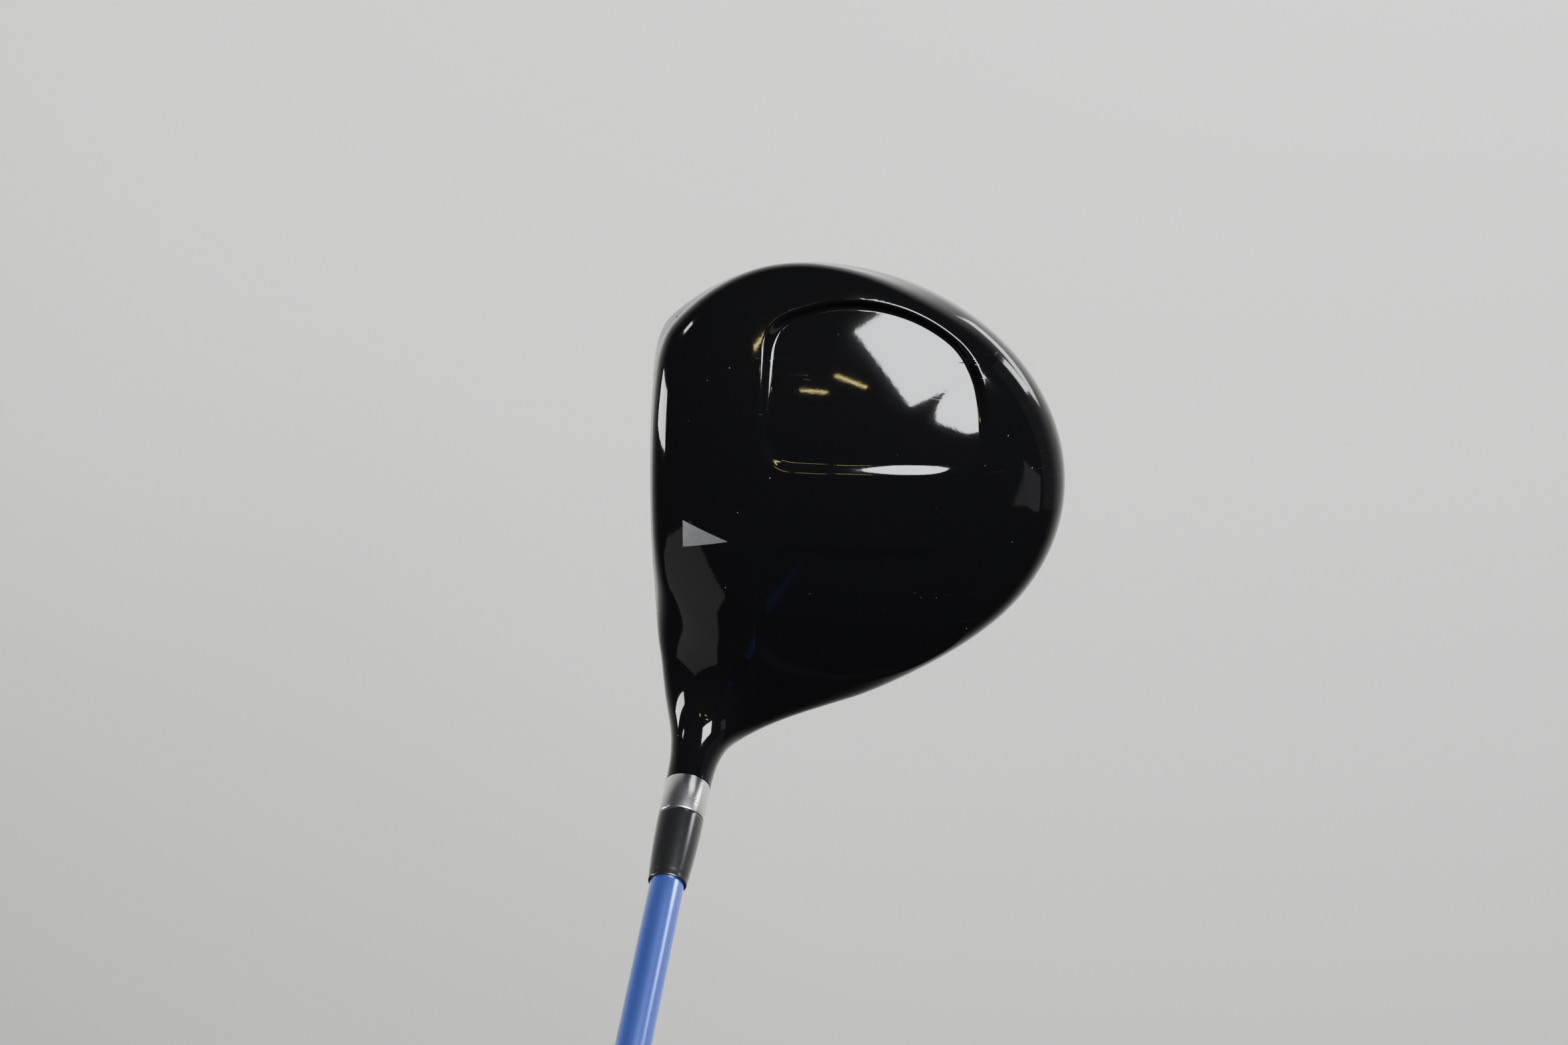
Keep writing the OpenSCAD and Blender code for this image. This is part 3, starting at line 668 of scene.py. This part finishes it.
# rings of the sole plate: half-length, half-width, height ("skin" and "step" hang from the sole's own height)
BADGE_X, BADGE_Y, BADGE_STEPS = 4, -1, 144
BADGE_RINGS = ((22, 16, "skin"), (21.9, 15.9, "step"), (20.6, 14.6, 0.12), (20.2, 14.2, 0.02), (20, 14, 0),
               (17.4, 11.9, 0), (17.2, 11.7, 0.3), (16.2, 10.9, 0.3), (16, 10.7, 0), (8, 5.3, 0), (0.3, 0.2, 0))
BADGE_HANG = {"skin": 0.05, "step": 0.68}
badge_a = np.linspace(0, 2 * np.pi, BADGE_STEPS, endpoint=False)
badge_rows = []
for sx, sy, z in BADGE_RINGS:
    x, y = BADGE_X + sx * np.cos(badge_a), BADGE_Y + sy * np.sin(badge_a)
    low = touch(np.stack([x, y, np.full_like(x, 25.0)], -1), np.array([0, 0, -1.0]))[:, 2]
    badge_rows.append(np.stack([x, y, low - BADGE_HANG[z] if z in BADGE_HANG else np.full_like(x, z)], -1))
badge = np.stack(badge_rows)
m = BADGE_STEPS
faces = [(i * m + j, i * m + (j + 1) % m, (i + 1) * m + (j + 1) % m, (i + 1) * m + j)
         for i in range(len(badge) - 1) for j in range(m)]
faces.append(tuple((len(badge) - 1) * m + j for j in range(m)))
plate = link("sole_plate", badge.reshape(-1, 3), faces)
bm = bmesh.new()
bm.from_mesh(plate.data)
bmesh.ops.recalc_face_normals(bm, faces=bm.faces)
if sum(f.normal.z * f.calc_area() for f in bm.faces) > 0:
    bmesh.ops.reverse_faces(bm, faces=bm.faces)
for e in bm.edges:
    e.smooth = len(e.link_faces) != 2 or e.calc_face_angle(0) < math.radians(25)
bm.to_mesh(plate.data)
bm.free()
place(plate, M_BADGE, "badge_metal", "sole_badge")

# ---------------------------------------------------------------- camera, light and floor
cam_data = bpy.data.cameras.new("camera")
cam_data.sensor_fit = "HORIZONTAL"
cam_data.sensor_width = 36.0
cam_data.lens = 53.55
cam_data.clip_start = 0.01
cam = bpy.data.objects.new("camera", cam_data)
bpy.context.scene.collection.objects.link(cam)
CAM_PLACE = (-0.19739, 0.08508, 0.61613)
CAM_RIGHT = (-0.0192052, 0.9862845, -0.16393307)
CAM_UP = (-0.94145501, -0.07303821, -0.32913201)
CAM_BACK = (-0.33659117, 0.14801457, 0.9299452)
rot = Matrix((CAM_RIGHT, CAM_UP, CAM_BACK)).transposed()
cam.matrix_world = Matrix.Translation(CAM_PLACE) @ rot.to_4x4()
bpy.context.scene.camera = cam

world = bpy.data.worlds.new("studio")
world.use_nodes = True
world.node_tree.nodes["Background"].inputs[0].default_value = (0.9, 0.94, 1.0, 1)
world.node_tree.nodes["Background"].inputs[1].default_value = 0.05
bpy.context.scene.world = world


def panel(name, az, el, far, wide, high, glow, colour=(1, 1, 1), roll=0):
    """A soft panel that faces the head, placed by direction, with its size in degrees."""
    a, e = math.radians(az), math.radians(el)
    middle = Vector((0.0, 0.0, 0.045))
    aim = Vector((math.cos(e) * math.cos(a), math.cos(e) * math.sin(a), math.sin(e)))
    d = bpy.data.lights.new(name, "AREA")
    d.shape = "RECTANGLE"
    d.size = 2 * far * math.tan(math.radians(wide / 2))
    d.size_y = 2 * far * math.tan(math.radians(high / 2))
    d.energy = glow * math.pi * d.size * d.size_y
    d.color = colour
    o = bpy.data.objects.new(name, d)
    bpy.context.scene.collection.objects.link(o)
    o.location = middle + far * aim
    o.rotation_euler = (aim.to_track_quat("Z", "Y") @ Quaternion((0, 0, 1), math.radians(roll))).to_euler()
    o.visible_camera = False
    return o


panel("softbox", 140, 43, 1.25, 28, 26, 44, (0.95, 0.97, 1.0), -18)
panel("softbox_shine", 140, 43, 1.25, 28, 26, 70, (0.9, 0.93, 1.0), -18).visible_diffuse = False
panel("low_window", 118, -21, 1.2, 12, 12, 20, (0.97, 0.98, 1.0))
panel("side_wall", 98, -10, 1.4, 56, 46, 0.15, (0.95, 0.96, 1.0))
panel("rim_panel", 122, -38, 0.9, 32, 9, 12, (0.93, 0.96, 1.0), -35)
panel("face_window", 273, 5, 1.1, 12, 30, 24, (0.97, 0.98, 1.0))
panel("neck_window", 245, 6, 1.2, 4, 5, 24)
panel("grey_wall_back", 76, 30, 1.5, 12, 24, 0.6)
panel("grey_wall_heel", 312, 21, 1.5, 24, 28, 0.5)
panel("lamp_a", 213, 58, 1.6, 6, 1.1, 32, (1.0, 0.85, 0.3))
panel("lamp_b", 178, 69, 1.6, 7, 0.8, 28, (1.0, 0.85, 0.3))
panel("lamp_c", 157, 63, 1.6, 9, 0.8, 32, (1.0, 0.85, 0.3))
panel("floor_fill", 215, 50, 1.6, 40, 40, 5.5).visible_glossy = False

# far below, because the photographed club is held in the air over a plain backdrop
FLOOR_Z, FLOOR_HALF = -0.85, 9
me = bpy.data.meshes.new("floor")
corners = [(x, y, FLOOR_Z) for x, y in ((-1, -1), (1, -1), (1, 1), (-1, 1))]
me.from_pydata([(x * FLOOR_HALF, y * FLOOR_HALF, z) for x, y, z in corners], [], [(0, 1, 2, 3)])
floor = bpy.data.objects.new("floor", me)
bpy.context.scene.collection.objects.link(floor)
fm, fnt, fb = new_material("floor_pale")
fb.inputs["Base Color"].default_value = (0.76, 0.745, 0.715, 1)
fb.inputs["Roughness"].default_value = 0.9
me.materials.append(fm)

for n, mt in {"hosel_stop": M_PLUG, "weight_port": M_PORT, "weight_cartridge": M_WEIGHT, "weight_screw": M_SCREW,
              "screw_retainer": M_SCREW, "hot_melt_pad": M_GLUE, "tip_plug": M_PLUG, "epoxy_sleeve": M_EPOXY,
              "grip_tape": M_TAPE}.items():
    for k in range(len(nodes[n].material_slots)):
        nodes[n].material_slots[k].material = mt

bpy.context.view_layer.update()
